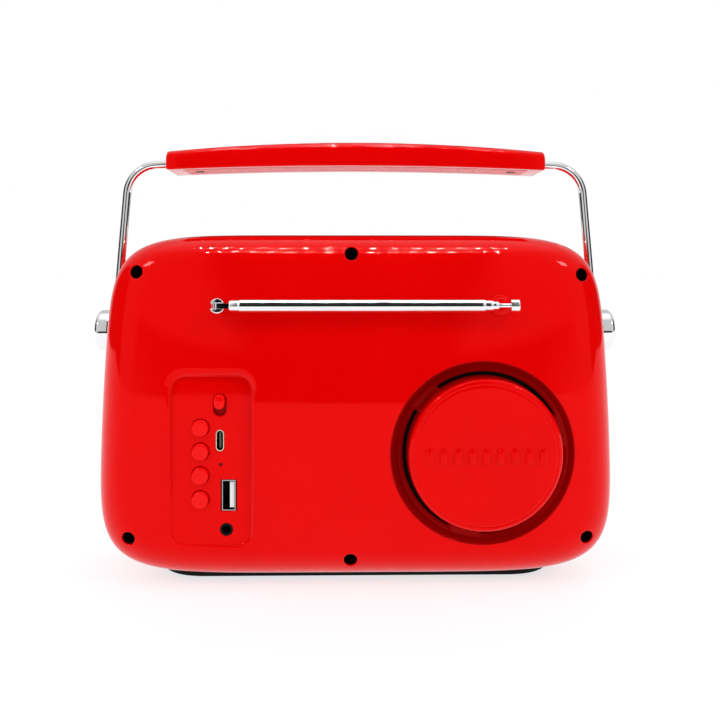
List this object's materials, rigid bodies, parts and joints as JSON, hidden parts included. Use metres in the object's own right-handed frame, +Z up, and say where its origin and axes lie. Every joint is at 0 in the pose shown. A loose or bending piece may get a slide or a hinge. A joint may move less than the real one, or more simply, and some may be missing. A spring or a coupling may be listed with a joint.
{
  "type": "portable transistor radio",
  "caption": "Retro portable radio in a rounded red cabinet with a folding carrying handle, a telescopic aerial, a dial, a grille, and a rear panel of keys and sockets.",
  "frame": {"origin": "centre of the base pad's underside, which rests on the table", "axes": "+X along the cabinet's width, to the left of someone looking at its back; +Y out of the back; +Z up"},
  "size_m": [0.2504, 0.1055, 0.1999],
  "materials": {
    "red_shell": "deep glossy red, polished mould",
    "chrome": "polished chrome plate",
    "steel": "plain zinc-plated steel",
    "black_screw": "black oxide screw",
    "black_plastic": "fine-grained black plastic",
    "black_rubber": "soft black rubber",
    "white_plastic": "white moulded plastic",
    "cream_panel": "cream enamelled plastic",
    "black_mesh": "black perforated sheet",
    "black_cone": "pressed cone",
    "clear_lens": "clear moulded lens",
    "clear_light": "clear light guide",
    "circuit_board": "green solder mask",
    "thread": "waxed dial thread",
    "battery_sleeve": "shrink sleeve"
  },
  "bodies": {
    "cabinet": {"front_cabinet": "red_shell", "back_shell": "red_shell", "base_plate": "black_plastic", "base_pad": "black_rubber", "case_screws": "black_screw", "pivot_bushes": "black_plastic", "pivot_studs": "steel", "pivot_washers": "chrome", "pivot_caps": "chrome", "aerial_rest": "red_shell", "power_switch": "steel", "button_switches": "black_plastic", "usb_c_shell": "chrome", "usb_c_tongue": "black_plastic", "usb_a_shell": "chrome", "usb_a_tongue": "white_plastic", "aux_jack": "black_plastic", "status_light": "clear_light", "control_board": "circuit_board", "inner_screws": "steel", "bass_cover": "red_shell", "bass_frame": "black_plastic", "bass_surround": "black_rubber", "bass_diaphragm": "steel", "bass_screws": "steel", "front_fascia": "cream_panel", "front_grille": "chrome", "grille_screen": "black_mesh", "speaker_basket": "steel", "speaker_cone": "black_cone", "speaker_magnet": "steel", "dial_scale": "cream_panel", "dial_bezel": "chrome", "dial_lens": "clear_lens", "dial_cord": "thread", "main_board": "circuit_board", "board_parts": "black_plastic", "battery": "battery_sleeve"},
    "handle": {"handle_grip": "red_shell", "grip_cover": "red_shell", "grip_screws": "black_screw", "handle_rod_left": "chrome", "handle_rod_right": "chrome"},
    "aerial_base": {"aerial_swivel": "chrome", "aerial_screw": "steel", "aerial_pin": "steel"},
    "aerial_mast": {"aerial_tube_1": "chrome"},
    "aerial_second": {"aerial_tube_2": "chrome"},
    "aerial_third": {"aerial_tube_3": "chrome"},
    "aerial_last": {"aerial_rod": "chrome", "aerial_tip": "chrome"},
    "mode_key": {"button_mode": "red_shell"},
    "previous_key": {"button_previous": "red_shell"},
    "play_key": {"button_play": "red_shell"},
    "next_key": {"button_next": "red_shell"},
    "power_key": {"power_slider": "red_shell"},
    "tuning": {"tuning_knob": "chrome"},
    "pointer": {"dial_pointer": "red_shell", "dial_drum": "white_plastic"},
    "volume": {"volume_knob": "chrome"}
  },
  "joints": [
    {"name": "handle_fold", "type": "hinge", "parent": "cabinet", "child": "handle", "pos_m": [0, -0.002, 0.1104], "axis": [1, 0, 0], "range_deg": [-90, 90]},
    {"name": "aerial_turn", "type": "hinge", "parent": "cabinet", "child": "aerial_base", "pos_m": [0.0588, 0.049, 0.1246], "axis": [0, 1, 0], "range_deg": [0, 180]},
    {"name": "aerial_tilt", "type": "hinge", "parent": "aerial_base", "child": "aerial_mast", "pos_m": [0.0588, 0.049, 0.1246], "axis": [0, 0, -1], "range_deg": [0, 90]},
    {"name": "aerial_slide_1", "type": "slide", "parent": "aerial_mast", "child": "aerial_second", "axis": [-1, 0, 0], "range_m": [0, 0.095]},
    {"name": "aerial_slide_2", "type": "slide", "parent": "aerial_second", "child": "aerial_third", "axis": [-1, 0, 0], "range_m": [0, 0.095]},
    {"name": "aerial_slide_3", "type": "slide", "parent": "aerial_third", "child": "aerial_last", "axis": [-1, 0, 0], "range_m": [0, 0.095]},
    {"name": "mode_press", "type": "slide", "parent": "cabinet", "child": "mode_key", "axis": [0, -1, 0], "range_m": [0, 0.0008], "stiffness_N_per_m": 1200, "springref_m": -0.0003},
    {"name": "previous_press", "type": "slide", "parent": "cabinet", "child": "previous_key", "axis": [0, -1, 0], "range_m": [0, 0.0008], "stiffness_N_per_m": 1200, "springref_m": -0.0003},
    {"name": "play_press", "type": "slide", "parent": "cabinet", "child": "play_key", "axis": [0, -1, 0], "range_m": [0, 0.0008], "stiffness_N_per_m": 1200, "springref_m": -0.0003},
    {"name": "next_press", "type": "slide", "parent": "cabinet", "child": "next_key", "axis": [0, -1, 0], "range_m": [0, 0.0008], "stiffness_N_per_m": 1200, "springref_m": -0.0003},
    {"name": "power_slide", "type": "slide", "parent": "cabinet", "child": "power_key", "axis": [0, 0, -1], "range_m": [0, 0.0032]},
    {"name": "tuning_turn", "type": "hinge", "parent": "cabinet", "child": "tuning", "pos_m": [0.075, -0.045, 0.034], "axis": [0, 1, 0], "range_deg": [-570, 570]},
    {"name": "pointer_turn", "type": "hinge", "parent": "cabinet", "child": "pointer", "pos_m": [0.056, -0.038, 0.092], "axis": [0, 1, 0], "range_deg": [-120, 120]},
    {"name": "volume_turn", "type": "hinge", "parent": "cabinet", "child": "volume", "pos_m": [0.037, -0.045, 0.034], "axis": [0, 1, 0], "range_deg": [-135, 135]}
  ],
  "couplings": [
    {"joint": "pointer_turn", "follows": "tuning_turn", "ratio": 0.21053}
  ]
}
